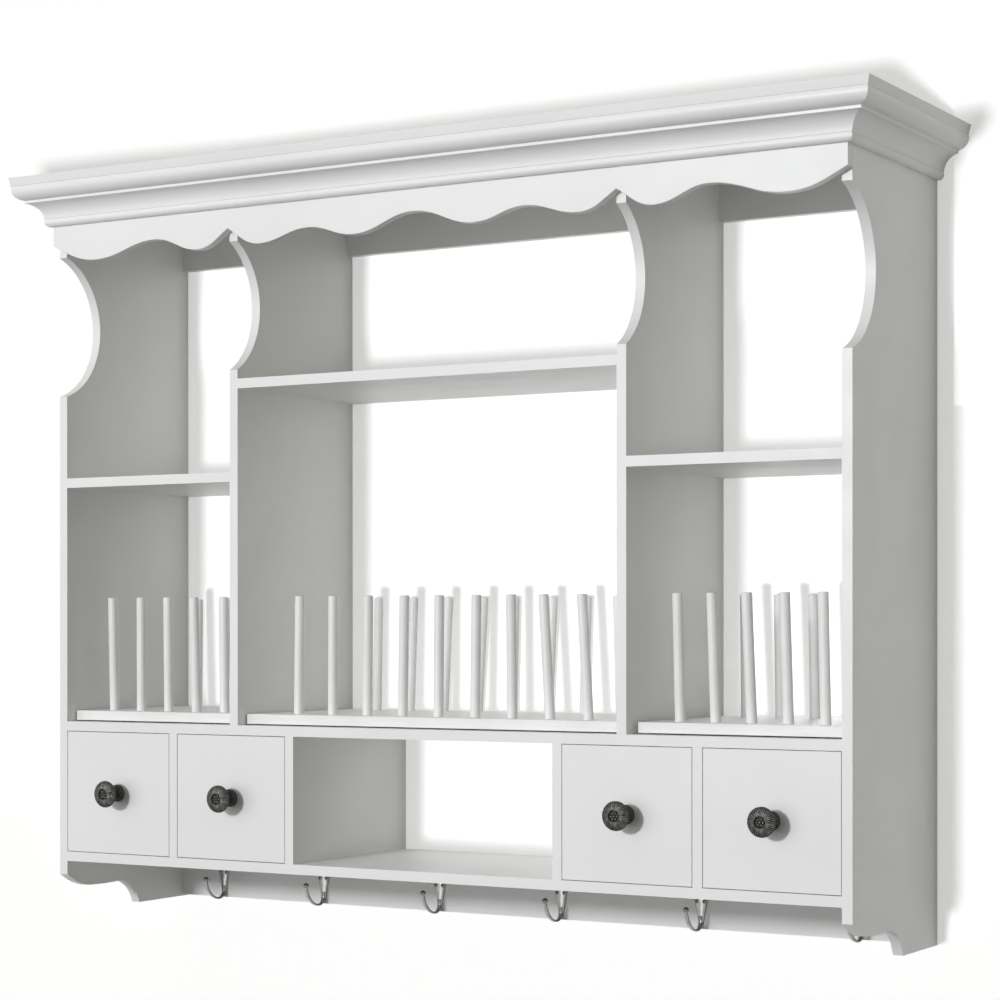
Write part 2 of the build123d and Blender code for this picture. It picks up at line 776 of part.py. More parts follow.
def export_carcass():
    """Write the boards of the carcass, its cornice and its dowels."""
    export("left_side_panel", side_panel(-1))
    export("right_side_panel", side_panel(1))
    export("left_divider", divider(-1))
    export("right_divider", divider(1))
    export("bottom_shelf", full_shelf(0))
    export("plate_shelf", full_shelf(h_drawer_top))
    export("left_upper_shelf", side_upper_shelf(-1))
    export("right_upper_shelf", side_upper_shelf(1))
    export("middle_upper_shelf", middle_upper_shelf())
    for number, x in enumerate(partition_centres, 1):
        export(f"drawer_partition_{number}", drawer_partition(x))
    export("top_board", top_board())
    export("fascia", fascia())
    export("cornice_front", cornice_front())
    export("cornice_left_return", cornice_return(-1))
    export("cornice_right_return", cornice_return(1))
    export("top_back_rail", back_rail(h_top_rail, h_top, h_upper_hole))
    export("bottom_back_rail", hook_rail())
    export("carcass_dowels", *[dowel(site, 0, 0) for site in dowel_sites])


def export_side_rack(name, x_middle, leans):
    """Write the rack of an outer bay."""
    front_row, back_row = peg_rows(x_middle, side_peg_pitch, side_peg_count, leans)
    sites = front_row + back_row
    export(f"{name}_rack_base", rack_base(x_middle, side_bay_width, sites))
    export(f"{name}_rack_pegs", *[peg(site) for site in sites])


def export_racks():
    """Write the three loose plate racks."""
    side_bay_centre = half_inner - side_bay_width / 2
    export_side_rack("left", left_rack_shift - side_bay_centre, left_peg_leans)
    export_side_rack("right", right_rack_shift + side_bay_centre, right_peg_leans)
    rows = peg_rows(middle_rack_shift, middle_peg_pitch, middle_peg_count, middle_peg_leans)
    export("middle_rack_base", rack_base(middle_rack_shift, middle_bay_width, rows[0] + rows[1]))
    export("middle_rack_front_pegs", *[peg(site) for site in rows[0]])
    export("middle_rack_back_pegs", *[peg(site) for site in rows[1]])


def export_drawers():
    """Write the four drawers with their knobs, and the stops behind them."""
    for number, x in enumerate(drawer_centres, 1):
        export(f"drawer_{number}_front", drawer_front(x))
        export(f"drawer_{number}_left_side", drawer_side(x, -1))
        export(f"drawer_{number}_right_side", drawer_side(x, 1))
        export(f"drawer_{number}_back", drawer_back(x))
        export(f"drawer_{number}_bottom", drawer_bottom(x))
        export(f"drawer_{number}_knob", knob(x))
    export("drawer_stops", *drawer_stops())


def export_hooks():
    """Write the six coat hooks and their screws."""
    for number, x in enumerate(hook_places, 1):
        export(f"hook_{number}", hook(x))
    export("hook_screws", *all_hook_screws())


dowel_sites = all_dowel_sites()
os.makedirs("parts", exist_ok=True)
export_carcass()
export_racks()
export_drawers()
export_hooks()
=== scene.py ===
"""White wall-hung kitchen cabinet with plate racks, small drawers and coat hooks.

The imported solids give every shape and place. Each board is dressed as a copy with softly
eased edges and a sprayed lacquer. The cast knobs, the plated hooks and their screws are
modelled here in full and stand for their plain solids.
"""

import json
import logging
import math
from dataclasses import dataclass, field
from enum import Enum
from typing import Any, Iterable, Sequence

import bmesh
import bpy
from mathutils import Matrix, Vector


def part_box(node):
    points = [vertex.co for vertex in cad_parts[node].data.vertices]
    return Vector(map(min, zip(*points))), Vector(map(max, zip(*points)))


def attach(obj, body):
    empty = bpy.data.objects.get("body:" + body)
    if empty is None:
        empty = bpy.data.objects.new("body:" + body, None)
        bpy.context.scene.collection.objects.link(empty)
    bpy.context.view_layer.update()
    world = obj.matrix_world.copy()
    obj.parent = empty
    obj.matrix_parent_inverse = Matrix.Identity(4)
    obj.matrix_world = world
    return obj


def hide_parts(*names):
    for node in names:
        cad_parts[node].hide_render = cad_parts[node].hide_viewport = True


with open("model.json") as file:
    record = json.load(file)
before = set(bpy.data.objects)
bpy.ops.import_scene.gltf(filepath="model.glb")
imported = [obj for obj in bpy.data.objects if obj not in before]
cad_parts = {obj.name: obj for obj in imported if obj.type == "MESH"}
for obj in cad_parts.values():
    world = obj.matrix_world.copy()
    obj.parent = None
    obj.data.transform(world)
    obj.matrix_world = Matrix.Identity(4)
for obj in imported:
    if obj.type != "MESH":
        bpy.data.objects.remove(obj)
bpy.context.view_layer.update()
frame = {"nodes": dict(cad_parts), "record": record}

LOG = logging.getLogger("wall_cabinet")
MM = 0.001

Tree = bpy.types.ShaderNodeTree
Node = bpy.types.Node
Object = bpy.types.Object
Point = tuple[float, float, float]
Flat = tuple[float, float]
Station = tuple[float, float, float, float]
Faces = list[tuple[int, ...]]
Shell = tuple[list[Point], Faces, list[float]]

# Where nearly all of a noise lies
NOISE_SPAN = (0.3, 0.7)
# A corner more open than this isn't rounded, and a rounding takes no more of a span than this share
STRAIGHT = math.radians(160)
SPAN_SHARE = 0.45
RACKS = ("left_rack", "middle_rack", "right_rack")


# Colour and node helpers

def linear(code: str) -> tuple[float, float, float, float]:
    """Turn an sRGB hex colour into linear red, green, blue and alpha.

    Args:
        code: Colour such as "#ecebe8".

    Returns:
        Linear components with alpha 1.
    """
    parts = [int(code[place:place + 2], 16) / 255 for place in (1, 3, 5)]
    curve = [c / 12.92 if c <= 0.04045 else ((c + 0.055) / 1.055) ** 2.4 for c in parts]
    return (curve[0], curve[1], curve[2], 1.0)


def spread(given: Flat = NOISE_SPAN, made: Flat = (0.0, 1.0)) -> dict[str, float]:
    """Settings of a map from one span of values to another."""
    return {"From Min": given[0], "From Max": given[1], "To Min": made[0], "To Max": made[1]}


def add_node(
    tree: Tree,
    kind: str,
    settings: dict[Any, Any] | None = None,
    links: dict[Any, Any] | None = None,
) -> Node:
    """Add a shader node, give it its settings and link its inputs.

    Args:
        tree: Node tree that takes the node.
        kind: Blender's name of the node type, from after "ShaderNode".
        settings: Values by socket name or number, or else by attribute name.
        links: Sockets, or nodes whose first socket is meant, by the input that they feed.

    Returns:
        The new node.
    """
    node = tree.nodes.new(f"ShaderNode{kind}")
    for name, value in (settings or {}).items():
        if isinstance(name, int) or name in node.inputs:
            node.inputs[name].default_value = value
        else:
            setattr(node, name, value)
    for name, source in (links or {}).items():
        socket = source.outputs[0] if isinstance(source, bpy.types.Node) else source
        tree.links.new(socket, node.inputs[name])
    return node


def seen_rays(tree: Tree) -> Node:
    """Add nodes that give 1 for what the camera sees, straight, mirrored or through glass.

    Args:
        tree: Node tree that takes them.

    Returns:
        The last of the nodes.
    """
    rays = add_node(tree, "LightPath").outputs
    links = {0: rays["Is Camera Ray"], 1: rays["Is Glossy Ray"]}
    seen = add_node(tree, "Math", {"operation": "ADD"}, links)
    links = {0: seen, 1: rays["Is Transmission Ray"]}
    return add_node(tree, "Math", {"operation": "ADD", "use_clamp": True}, links)


# Finishes

@dataclass(frozen=True)
class Look:
    """What every finish has: a name, and a material that starts empty."""

    name: str

    def begin(self) -> tuple[bpy.types.Material, Tree, Any]:
        """Start the material.

        Returns:
            The material, its empty node tree, and a place in metres that moves with the piece.
        """
        material = bpy.data.materials.new(self.name)
        material.use_nodes = True
        tree = material.node_tree
        tree.nodes.clear()
        return material, tree, add_node(tree, "TexCoord").outputs["Object"]


@dataclass(frozen=True)
class Grain:
    """How large the features of a noise are, and how fine it goes on within them."""

    size_mm: float
    detail: float

    def settings(self) -> dict[str, float]:
        """Settings of the noise."""
        return {"Scale": 1.0 / (self.size_mm * MM), "Detail": self.detail}


@dataclass(frozen=True)
class SprayedLacquer(Look):
    """White polyurethane lacquer, sprayed on fibreboard and left satin; other paints are made from it."""

    name: str = "white_polyurethane_lacquer"
    white: str = "#f0f0ee"
    shade: str = "#ebebe9"
    roughness: Flat = (0.36, 0.48)
    ior: float = 1.5
    stretch: Point = (1.0, 1.0, 1.0)
    # Thinner and thicker passes of the spray gun shift the white a little
    cloud: Grain = Grain(160.0, 3)
    cloud_span: Flat = NOISE_SPAN
    # The satin is uneven where the coat dried faster
    sheen: Grain = Grain(45.0, 4)
    # The orange peel of a sprayed coat, under 2 mm in truth, is drawn coarser so that it shows
    ripple: Grain = Grain(7.0, 2)
    ripple_depth_mm: float = 0.012

    def material(self) -> bpy.types.Material:
        """Build the material.

        Returns:
            The material.
        """
        material, tree, place = self.begin()
        cloud = add_node(tree, "TexNoise", self.cloud.settings(), {"Vector": place})
        # The grain of wood is drawn out along the piece
        along = add_node(tree, "Mapping", {"Scale": self.stretch}, {"Vector": place})
        sheen = add_node(tree, "TexNoise", self.sheen.settings(), {"Vector": along})
        ripple = add_node(tree, "TexNoise", self.ripple.settings(), {"Vector": along})
        share = add_node(tree, "MapRange", spread(self.cloud_span), {"Value": self.tone(tree, cloud, sheen)})
        tones = {"data_type": "RGBA", 6: linear(self.white), 7: linear(self.shade)}
        colour = add_node(tree, "Mix", tones, {0: share})
        dull = add_node(tree, "MapRange", spread(NOISE_SPAN, self.roughness), {"Value": sheen})
        relief = add_node(tree, "Bump", {"Distance": self.ripple_depth_mm * MM}, {"Height": ripple})
        links = {"Base Color": colour.outputs[2], "Roughness": dull, "Normal": relief}
        surface = add_node(tree, "BsdfPrincipled", {"IOR": self.ior}, links)
        add_node(tree, "OutputMaterial", links={"Surface": surface})
        return material

    def tone(self, tree: Tree, cloud: Node, sheen: Node) -> Node:
        """Where the coat is darker: in its own clouds alone."""
        return cloud


@dataclass(frozen=True)
class PaintedPine(SprayedLacquer):
    """White paint on turned pegs and on sawn boards, with the grain just showing through."""

    name: str = "white_painted_pine_pegs"
    white: str = "#f1f1f0"
    shade: str = "#e9e9e6"
    roughness: Flat = (0.42, 0.56)
    cloud: Grain = Grain(60.0, 2)
    cloud_span: Flat = (0.12, 0.38)
    # Growth rings under 2 mm apart are drawn a little coarser, long along the grain
    stretch: Point = (1.0, 1.0, 0.05)
    sheen: Grain = Grain(2.4, 3)
    ripple: Grain = Grain(2.4, 3)
    ripple_depth_mm: float = 0.02

    def tone(self, tree: Tree, cloud: Node, sheen: Node) -> Node:
        """Where the coat is darker: in the open grain, into which paint sinks."""
        return add_node(tree, "Math", {"operation": "MULTIPLY"}, {0: sheen, 1: cloud})


@dataclass(frozen=True)
class TurnedBeech(Look):
    """Plain beech dowels with their small dark flecks."""

    name: str = "beech_dowel"
    light: str = "#dcb98c"
    dark: str = "#b98f5f"
    # Beech shows short ray flecks along the grain
    fleck: Grain = Grain(1.5, 3)
    stretch: Point = (0.2, 1.0, 0.2)
    roughness: Flat = (0.5, 0.7)

    def material(self) -> bpy.types.Material:
        """Build the material.

        Returns:
            The material.
        """
        material, tree, place = self.begin()
        along = add_node(tree, "Mapping", {"Scale": self.stretch}, {"Vector": place})
        fleck = add_node(tree, "TexNoise", self.fleck.settings(), {"Vector": along})
        tones = {"data_type": "RGBA", 6: linear(self.light), 7: linear(self.dark)}
        colour = add_node(tree, "Mix", tones, {0: fleck})
        dull = add_node(tree, "MapRange", spread((0.0, 1.0), self.roughness), {"Value": fleck})
        links = {"Base Color": colour.outputs[2], "Roughness": dull}
        surface = add_node(tree, "BsdfPrincipled", {"IOR": 1.5}, links)
        add_node(tree, "OutputMaterial", links={"Surface": surface})
        return material


@dataclass(frozen=True)
class WornAndPaintedLightMetal(Look):
    """Metal in three tones set by a share at each point: on the knobs a dark patina that hands and cloths have
    rubbed bright on what stands proud, on the hooks painted highlights and painted shade, on the screws a dark
    slot and a lighter head.
    """

    name: str = "antique_pewter_zinc"
    layer: str = "rubbed"
    low_tone: str = "#232422"
    body: str = "#4a4b48"
    high_tone: str = "#96958f"
    roughness: Flat = (0.56, 0.32)
    # The edge between the tones wanders with a noise, as the knobs' patina took unevenly
    stain: Grain = Grain(4.0, 4)
    stain_share: float = 0.2
    # The fine grit that the mould or the plating bath leaves
    grit: Grain = Grain(1.1, 3)
    grit_depth_mm: float = 0.1
    metallic: float = 0.9

    def material(self) -> bpy.types.Material:
        """Build the material.

        Returns:
            The material.
        """
        material, tree, place = self.begin()
        # The shares hold wear on the knobs and painted highlight and shade on the hooks
        wear = add_node(tree, "Attribute", {"attribute_name": self.layer}).outputs["Fac"]
        cloud = add_node(tree, "TexNoise", self.stain.settings(), {"Vector": place})
        limits = spread(NOISE_SPAN, (-self.stain_share, self.stain_share))
        uneven = add_node(tree, "MapRange", limits, {"Value": cloud})
        rubbed = add_node(tree, "Math", {"operation": "ADD"}, {0: wear, 1: uneven})
        # Low shares take the darkest tone, middle ones grey and high ones bright metal: on the knobs patina in the
        # recesses and metal rubbed bright where hands touch, on the hooks painted shade and painted highlights, on
        # the screws a dark slot and a lighter head
        low = add_node(tree, "MapRange", spread((0.0, 0.5)), {"Value": rubbed})
        tones = {"data_type": "RGBA", 6: linear(self.low_tone), 7: linear(self.body)}
        dark = add_node(tree, "Mix", tones, {0: low})
        high = add_node(tree, "MapRange", spread((0.5, 1.0)), {"Value": rubbed})
        tones = {"data_type": "RGBA", 7: linear(self.high_tone)}
        colour = add_node(tree, "Mix", tones, {0: high, 6: dark.outputs[2]})
        dull = add_node(tree, "MapRange", spread((0.1, 1.0), self.roughness), {"Value": rubbed})
        grit = add_node(tree, "TexNoise", self.grit.settings(), {"Vector": place})
        relief = add_node(tree, "Bump", {"Distance": self.grit_depth_mm * MM}, {"Height": grit})
        links = {"Base Color": colour.outputs[2], "Roughness": dull, "Normal": relief}
        surface = add_node(tree, "BsdfPrincipled", {"Metallic": self.metallic}, links)
        add_node(tree, "OutputMaterial", links={"Surface": surface})
        return material


@dataclass(frozen=True)
class StudioWhite(Look):
    """White emulsion of the studio wall and floor, which the picture shows as plain white."""

    paint: str = "#e4e4e4"
    glow: float = 0.4
    one_sided: bool = False

    def material(self) -> bpy.types.Material:
        """Build the material.

        Returns:
            The material.
        """
        material, tree, _ = self.begin()
        strength = add_node(tree, "Math", {"operation": "MULTIPLY", 1: self.glow}, {0: seen_rays(tree)})
        paint = add_node(tree, "BsdfDiffuse", {"Color": linear(self.paint)})
        glow = add_node(tree, "Emission", links={"Strength": strength})
        surface = add_node(tree, "AddShader", links={0: paint, 1: glow})
        if self.one_sided:
            back = add_node(tree, "NewGeometry").outputs["Backfacing"]
            clear = add_node(tree, "BsdfTransparent")
            surface = add_node(tree, "MixShader", links={0: back, 1: surface, 2: clear})
        add_node(tree, "OutputMaterial", links={"Surface": surface})
        return material


PRIMER = SprayedLacquer(
    name="primed_fibreboard",
    white="#e9e8e3",
    shade="#dcd9d0",
    roughness=(0.6, 0.75),
    ior=1.48,
    # The pressed fibres drink the one thin coat unevenly, which leaves a faint mottle
    cloud=Grain(70.0, 5),
    sheen=Grain(3.0, 4),
    ripple=Grain(3.0, 4),
    ripple_depth_mm=0.02,
)
# On the hooks the tones are painted light: painted highlights and painted shade set point by point
NICKEL = WornAndPaintedLightMetal(
    name="satin_nickel_plate",
    layer="hook_painted_light",
    low_tone="#3c3d3b",
    body="#8a8b88",
    high_tone="#d0d0cd",
    roughness=(0.36, 0.2),
    stain=Grain(7.0, 4),
    stain_share=0.08,
    grit=Grain(1.6, 3),
    grit_depth_mm=0.02,
    metallic=1.0,
)
# The screws' heads take a lighter tone and their slots the darkest
STEEL = WornAndPaintedLightMetal(
    name="blackened_steel_screw",
    layer="head_and_slot_tone",
    low_tone="#565755",
    body="#8e8e8a",
    high_tone="#bcbcb8",
    roughness=(0.5, 0.3),
    stain=Grain(1.6, 4),
    grit=Grain(0.8, 3),
    grit_depth_mm=0.03,
    metallic=1.0,
)


class Finish(Enum):
    """The finishes of the cabinet, each with its material slot in the record."""

    WHITE_LACQUER = ("white_lacquer", SprayedLacquer())
    RACK_PEGS = ("rack_white", PaintedPine())
    RACK_BOARD = ("rack_white", PaintedPine(name="white_painted_pine_board", stretch=(0.05, 1.0, 1.0)))
    DRAWER_BOX = ("drawer_box_board", PRIMER)
    BEECH = ("beech", TurnedBeech())
    PEWTER = ("dark_pewter", WornAndPaintedLightMetal())
    NICKEL = ("nickel", NICKEL)
    SCREW = ("screw_steel", STEEL)

    @property
    def slot(self) -> str:
        """Name of the slot in the record."""
        return self.value[0]

    def material(self) -> bpy.types.Material:
        """The finish's material, made once."""
        look = self.value[1]
        return bpy.data.materials.get(look.name) or look.material()


# Mesh helpers

def nodes_of(body: str) -> Sequence[str]:
    """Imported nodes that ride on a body."""
    return frame["record"]["behaviour"]["bodies"][body]


def shifted(faces: Faces, offset: int) -> Faces:
    """The same faces on vertices further down the list."""
    return [tuple(number + offset for number in face) for face in faces]


def add_piece(name: str, mesh: bpy.types.Mesh, finish: Finish, body: str, nodes: Sequence[str]) -> Object:
    """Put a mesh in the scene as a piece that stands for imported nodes.

    Args:
        name: Name of the piece.
        mesh: Its mesh, in metres in the frame's axes.
        finish: Its finish.
        body: Body that it rides on.
        nodes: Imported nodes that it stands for.

    Returns:
        The piece.
    """
    piece = bpy.data.objects.new(name, mesh)
    bpy.context.scene.collection.objects.link(piece)
    if not mesh.materials:
        mesh.materials.append(finish.material())
    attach(piece, body)
    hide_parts(*nodes)
    return piece


def mesh_from(
    name: str,
    points: Iterable[Sequence[float]],
    faces: Iterable[Sequence[int]],
    sharp_degrees: float = 50.0,
) -> bpy.types.Mesh:
    """Make a mesh with outward faces, smooth but for its sharp edges.

    Args:
        name: Name of the mesh.
        points: Vertices in metres.
        faces: Vertex numbers of each face.
        sharp_degrees: Bend from which an edge shows as sharp.

    Returns:
        The mesh.
    """
    mesh = bpy.data.meshes.new(name)
    mesh.from_pydata([tuple(p) for p in points], [], [tuple(f) for f in faces])
    work = bmesh.new()
    work.from_mesh(mesh)
    bmesh.ops.recalc_face_normals(work, faces=work.faces)
    work.to_mesh(mesh)
    work.free()
    mesh.shade_smooth()
    mesh.set_sharp_from_angle(angle=math.radians(sharp_degrees))
    return mesh


def ring_faces(rings: int, around: int, closed: bool = True) -> Faces:
    """Faces between successive rings of vertices.

    Args:
        rings: Number of rings.
        around: Vertices in each ring.
        closed: Whether each ring closes on itself.

    Returns:
        Vertex numbers of each four-sided face.
    """
    steps = around if closed else around - 1
    faces = []
    for ring in range(rings - 1):
        for step in range(steps):
            after = (step + 1) % around
            here, there = ring * around, (ring + 1) * around
            faces.append((here + step, here + after, there + after, there + step))
    return faces


def tube_faces(rings: int, around: int, offset: int = 0) -> Faces:
    """Faces of a tube with flat ends.

    Args:
        rings: Number of rings.
        around: Vertices in each ring.
        offset: Number of its first vertex.

    Returns:
        Vertex numbers of each face.
    """
    last = (rings - 1) * around
    ends = [tuple(range(around)), tuple(range(last, last + around))]
    return shifted(ring_faces(rings, around) + ends, offset)


def within(low: Flat, high: Flat, share: Flat) -> Flat:
    """Point that lies between two others by a share along each axis."""
    return (low[0] + (high[0] - low[0]) * share[0], low[1] + (high[1] - low[1]) * share[1])


def hump(value: float, middle: float, width: float, power: int = 2) -> float:
    """Smooth hump, 1 at its middle and about a third at its width from there."""
    return math.exp(-(((value - middle) / width) ** power))


def arc(start: Flat, middle: Flat, end: Flat, steps: int) -> list[Flat]:
    """Points along the arc through three points.

    Args:
        start: First point.
        middle: Point on the arc between the others.
        end: Last point.
        steps: Number of spans.

    Returns:
        The points, both ends among them.
    """
    (ax, ay), (bx, by), (cx, cy) = start, middle, end
    twice = 2 * (ax * (by - cy) + bx * (cy - ay) + cx * (ay - by))
    a, b, c = ax * ax + ay * ay, bx * bx + by * by, cx * cx + cy * cy
    x = (a * (by - cy) + b * (cy - ay) + c * (ay - by)) / twice
    y = (a * (cx - bx) + b * (ax - cx) + c * (bx - ax)) / twice
    radius = math.hypot(ax - x, ay - y)
    turns = [math.atan2(py - y, px - x) for px, py in (start, middle, end)]
    sweep = (turns[2] - turns[0]) % math.tau
    if (turns[1] - turns[0]) % math.tau > sweep:
        sweep -= math.tau
    angles = [turns[0] + sweep * step / steps for step in range(steps + 1)]
    return [(x + radius * math.cos(angle), y + radius * math.sin(angle)) for angle in angles]


def eased(corners: Sequence[Flat], radius: float, steps: int = 3) -> list[Flat]:
    """Round the corners of an open flat line.

    Args:
        corners: The line's points.
        radius: Radius of each rounding, cut short where the line is.
        steps: Number of spans of each rounding.

    Returns:
        The rounded line.
    """
    line = [corners[0]]
    for before, corner, after in zip(corners, corners[1:], corners[2:]):
        middle = Vector(corner)
        back, on = Vector(before) - middle, Vector(after) - middle
        half = back.angle(on) / 2
        if 2 * half > STRAIGHT:
            line.append(corner)
            continue
        cut = min(radius / math.tan(half), back.length * SPAN_SHARE, on.length * SPAN_SHARE)
        reach = cut * math.tan(half)
        first, last = middle + back.normalized() * cut, middle + on.normalized() * cut
        way = (back.normalized() + on.normalized()).normalized()
        crest = middle + way * (reach / math.sin(half) - reach)
        line += arc(tuple(first), tuple(crest), tuple(last), steps)
    return line + [corners[-1]]


def assign(node: str, finish: Finish) -> None:
    """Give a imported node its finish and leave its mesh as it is.

    Args:
        node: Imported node.
        finish: Finish for all its slots.
    """
    for slot in frame["nodes"][node].material_slots:
        slot.material = finish.material()


@dataclass
class EasedBoards:
    """Boards cut square, whose edges are broken with sandpaper before they are sprayed."""

    ease_mm: float = 0.7
    segments: int = 2
    sharp_degrees: float = 25.0
    weld_mm: float = 0.002
    flat_degrees: float = 0.3
    coat_mm: float = 0.0

    def dress(self, node: str, body: str, finish: Finish) -> Object:
        """Stand an eased and finished copy in a board's place.

        Args:
            node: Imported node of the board.
            body: Body that it rides on.
            finish: Finish of the board.

        Returns:
            The piece.
        """
        work = bmesh.new()
        work.from_mesh(frame["nodes"][node].data)
        bmesh.ops.remove_doubles(work, verts=work.verts, dist=self.weld_mm * MM)
        flat = math.radians(self.flat_degrees)
        bmesh.ops.dissolve_limit(work, angle_limit=flat, verts=work.verts, edges=work.edges)
        self.thicken(node, work)
        sharp = math.radians(self.sharp_degrees)
        edges = [e for e in work.edges if len(e.link_faces) == 2 and e.calc_face_angle(0) > sharp]
        bmesh.ops.bevel(
            work,
            geom=edges,
            offset=self.ease_mm * MM,
            offset_type="OFFSET",
            segments=self.segments,
            profile=0.5,
            affect="EDGES",
            clamp_overlap=True,
        )
        bmesh.ops.triangulate(work, faces=[f for f in work.faces if len(f.verts) > 4])
        mesh = bpy.data.meshes.new(f"{node}_board")
        work.to_mesh(mesh)
        work.free()
        mesh.shade_smooth()
        piece = add_piece(f"{node}_board", mesh, finish, body, [node])
        piece.modifiers.new("flat_faces", "WEIGHTED_NORMAL").keep_sharp = True
        return piece

    def thicken(self, node: str, work: bmesh.types.BMesh) -> None:
        """Let the coats of lacquer fill the outline out across and upward.

        Args:
            node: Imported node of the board.
            work: Its mesh.
        """
        low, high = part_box(node)
        middle, half = (low + high) / 2, (high - low) / 2
        grow = [1 + self.coat_mm * MM / half.x, 1.0, 1 + self.coat_mm * MM / half.z]
        for vertex in work.verts:
            away = vertex.co - middle
            vertex.co = middle + Vector([part * scale for part, scale in zip(away, grow)])


# Sub-assemblies

@dataclass
class Cornice:
    """Three mitred lengths of a moulding: bead, cove, fillet, cushion and leaning crown."""

    reach_mm: float = 40.0
    height_mm: float = 60.0
    bead_mm: Flat = (8.0, 9.0)
    quirk_mm: float = 0.9
    fillet_mm: float = 25.0
    fillet_span_mm: Flat = (28.5, 32.0)
    cushion_mm: float = 36.6
    crown_mm: float = 49.0
    crown_foot_mm: float = 37.4
    cove_middle: Flat = (0.32, 0.68)
    cushion_middle: Flat = (0.90, 0.36)
    ease_mm: float = 0.6
    sharp_degrees: float = 30.0
    spans: int = 14

    def section(self) -> list[Flat]:
        """The moulding's section.

        Returns:
            Reach and rise of its outline in millimetres, from its foot over its face to its back.
        """
        bead, bead_top = self.bead_mm
        low, high = self.fillet_span_mm
        foot = (bead - self.quirk_mm, bead_top)
        cove_middle = within((bead, bead_top), (self.fillet_mm, low), self.cove_middle)
        start, end = (self.fillet_mm, high), (self.cushion_mm, self.crown_mm)
        face = [(0.0, 0.0)] + arc((bead / 2, 0.0), (bead - 0.1, bead_top / 2), foot, self.spans)
        face += arc((bead, bead_top + 0.6), cove_middle, (self.fillet_mm, low), self.spans)
        face += arc(start, within(start, end, self.cushion_middle), end, self.spans)
        face += [(self.crown_foot_mm, self.crown_mm + 0.4), (self.reach_mm, self.height_mm), (0.0, self.height_mm)]
        return eased(face, self.ease_mm)

    def build(self) -> int:
        """Build the three lengths in their plain ones' places.

        Returns:
            Number of lengths.
        """
        low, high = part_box("cornice_front")
        half = high.x / MM - self.reach_mm
        front = low.y / MM + self.reach_mm
        section = self.section()
        rows = {"cornice_front": [[(side * (half + r), front - r, z) for r, z in section] for side in (-1, 1)]}
        for side, node in ((-1, "cornice_left_return"), (1, "cornice_right_return")):
            # A return runs from the wall to the mitre
            rows[node] = [[(side * (half + r), (front - r) * end, z) for r, z in section] for end in (0, 1)]
        for node, ends in rows.items():
            points = [(x * MM, y * MM, low.z + z * MM) for end in ends for x, y, z in end]
            mesh = mesh_from(f"{node}_moulding", points, tube_faces(2, len(section)), self.sharp_degrees)
            piece = add_piece(f"{node}_moulding", mesh, Finish.WHITE_LACQUER, "carcass", [node])
            piece.modifiers.new("flat_faces", "WEIGHTED_NORMAL").keep_sharp = True
        return len(rows)


@dataclass
class Carcass:
    """Uprights, shelves, rails and fascia, all in white lacquer."""

    body: str = "carcass"
    boards: EasedBoards = field(default_factory=EasedBoards)
    primed_nodes: tuple[str, ...] = ("drawer_stops",)
    hidden_nodes: tuple[str, ...] = ("carcass_dowels",)
    other_words: tuple[str, ...] = ("hook_", "cornice_")

    def build(self) -> int:
        """Dress every board of the carcass.

        Returns:
            Number of dressed boards.
        """
        count = 0
        for node in nodes_of(self.body):
            if node.startswith(self.other_words):
                continue
            if node in self.hidden_nodes:
                assign(node, Finish.BEECH)
                continue
            finish = Finish.DRAWER_BOX if node in self.primed_nodes else Finish.WHITE_LACQUER
            self.boards.dress(node, self.body, finish)
            count += 1
        return count


@dataclass
class PlateRack:
    """Loose rack board with its rows of round pegs."""

    body: str
    boards: EasedBoards = field(default_factory=lambda: EasedBoards(ease_mm=0.6))

    def build(self) -> int:
        """Dress the rack.

        Returns:
            Number of nodes in the rack.
        """
        nodes = nodes_of(self.body)
        for node in nodes:
            if node.endswith("_base"):
                self.boards.dress(node, self.body, Finish.RACK_BOARD)
            else:
                assign(node, Finish.RACK_PEGS)
        return len(nodes)


